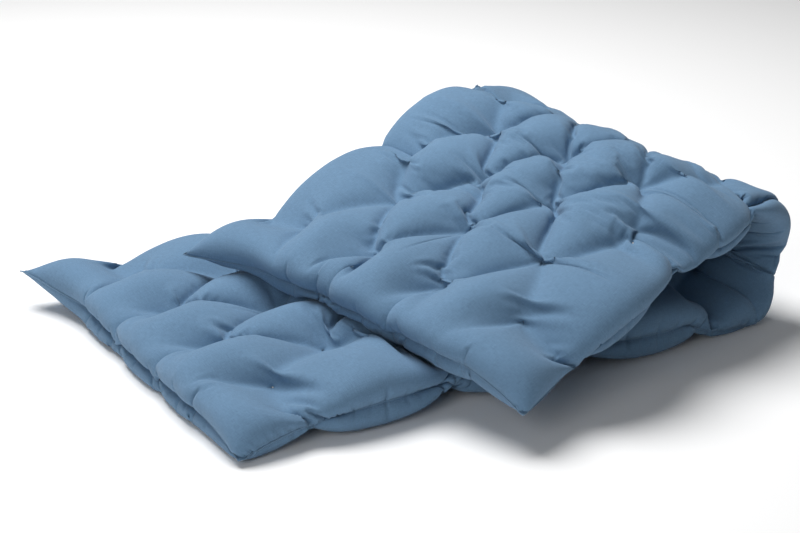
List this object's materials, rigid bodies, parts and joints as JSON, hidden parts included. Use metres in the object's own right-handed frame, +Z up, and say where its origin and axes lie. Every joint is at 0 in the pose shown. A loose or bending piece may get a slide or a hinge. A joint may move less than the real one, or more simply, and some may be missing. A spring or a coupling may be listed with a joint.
{
  "type": "tufted futon mattress",
  "caption": "Soft tufted mattress with diamond bulges and pinched edges, lying on the floor and folded back over itself; it unfolds flat.",
  "frame": {"origin": "middle of the footprint of the folded mattress, on the floor", "axes": "+Z up from the floor, +X along the lower layer from its free end towards the fold, +Y across the mattress from the near edge to the far edge"},
  "size_m": [1.0828, 0.902, 0.3171],
  "materials": {
    "cover_cloth": "matt woven",
    "batting": "loose cotton",
    "edge_seam": "stitched",
    "tufting_twine": "twisted thread"
  },
  "bodies": {
    "lower_layer": {"edge_seam_lower": "edge_seam", "inner_batting_lower": "batting", "inner_cover_lower": "cover_cloth", "outer_batting_lower": "batting", "outer_cover_lower": "cover_cloth", "tuft_twine_row_01": "tufting_twine", "tuft_twine_row_02": "tufting_twine", "tuft_twine_row_03": "tufting_twine", "tuft_twine_row_04": "tufting_twine", "tuft_twine_row_05": "tufting_twine", "tuft_twine_row_06": "tufting_twine", "tuft_twine_row_07": "tufting_twine"},
    "fold_strip_1": {"edge_seam_far_fold_1": "edge_seam", "edge_seam_near_fold_1": "edge_seam", "inner_batting_fold_1": "batting", "inner_cover_fold_1": "cover_cloth", "outer_batting_fold_1": "batting", "outer_cover_fold_1": "cover_cloth", "tuft_twine_row_08": "tufting_twine"},
    "fold_strip_2": {"edge_seam_far_fold_2": "edge_seam", "edge_seam_near_fold_2": "edge_seam", "inner_batting_fold_2": "batting", "inner_cover_fold_2": "cover_cloth", "outer_batting_fold_2": "batting", "outer_cover_fold_2": "cover_cloth", "tuft_twine_row_09": "tufting_twine"},
    "fold_strip_3": {"edge_seam_far_fold_3": "edge_seam", "edge_seam_near_fold_3": "edge_seam", "inner_batting_fold_3": "batting", "inner_cover_fold_3": "cover_cloth", "outer_batting_fold_3": "batting", "outer_cover_fold_3": "cover_cloth", "tuft_twine_row_10": "tufting_twine"},
    "fold_strip_4": {"edge_seam_far_fold_4": "edge_seam", "edge_seam_near_fold_4": "edge_seam", "inner_batting_fold_4": "batting", "inner_cover_fold_4": "cover_cloth", "outer_batting_fold_4": "batting", "outer_cover_fold_4": "cover_cloth", "tuft_twine_row_11": "tufting_twine"},
    "upper_layer": {"edge_seam_upper": "edge_seam", "inner_batting_upper": "batting", "inner_cover_upper": "cover_cloth", "outer_batting_upper": "batting", "outer_cover_upper": "cover_cloth", "tuft_twine_row_12": "tufting_twine", "tuft_twine_row_13": "tufting_twine", "tuft_twine_row_14": "tufting_twine", "tuft_twine_row_15": "tufting_twine"}
  },
  "joints": [
    {"name": "fold_line_1", "type": "hinge", "parent": "lower_layer", "child": "fold_strip_1", "pos_m": [0.43168, 0.09134, 0], "axis": [-0.1652, 0.9863, 0], "range_deg": [0, 42.7]},
    {"name": "fold_line_2", "type": "hinge", "parent": "fold_strip_1", "child": "fold_strip_2", "pos_m": [0.51851, 0.08629, 0.07825], "axis": [-0.1127, 0.9924, 0.0488], "range_deg": [0, 50.5]},
    {"name": "fold_line_3", "type": "hinge", "parent": "fold_strip_2", "child": "fold_strip_3", "pos_m": [0.51377, 0.06785, 0.2018], "axis": [-0.112, 0.9931, 0.0358], "range_deg": [0, 43.8]},
    {"name": "fold_line_4", "type": "hinge", "parent": "fold_strip_3", "child": "fold_strip_4", "pos_m": [0.42469, 0.04119, 0.28682], "axis": [-0.1127, 0.993, 0.0365], "range_deg": [0, 29.8]},
    {"name": "fold_line_5", "type": "hinge", "parent": "fold_strip_4", "child": "upper_layer", "pos_m": [0.3061, 0.01337, 0.31486], "axis": [-0.1513, 0.9874, 0.0456], "range_deg": [0, 29.6]}
  ],
  "couplings": [
    {"joint": "fold_line_2", "follows": "fold_line_1", "ratio": 1.1827},
    {"joint": "fold_line_3", "follows": "fold_line_1", "ratio": 1.0258},
    {"joint": "fold_line_4", "follows": "fold_line_1", "ratio": 0.69789},
    {"joint": "fold_line_5", "follows": "fold_line_1", "ratio": 0.69321}
  ]
}
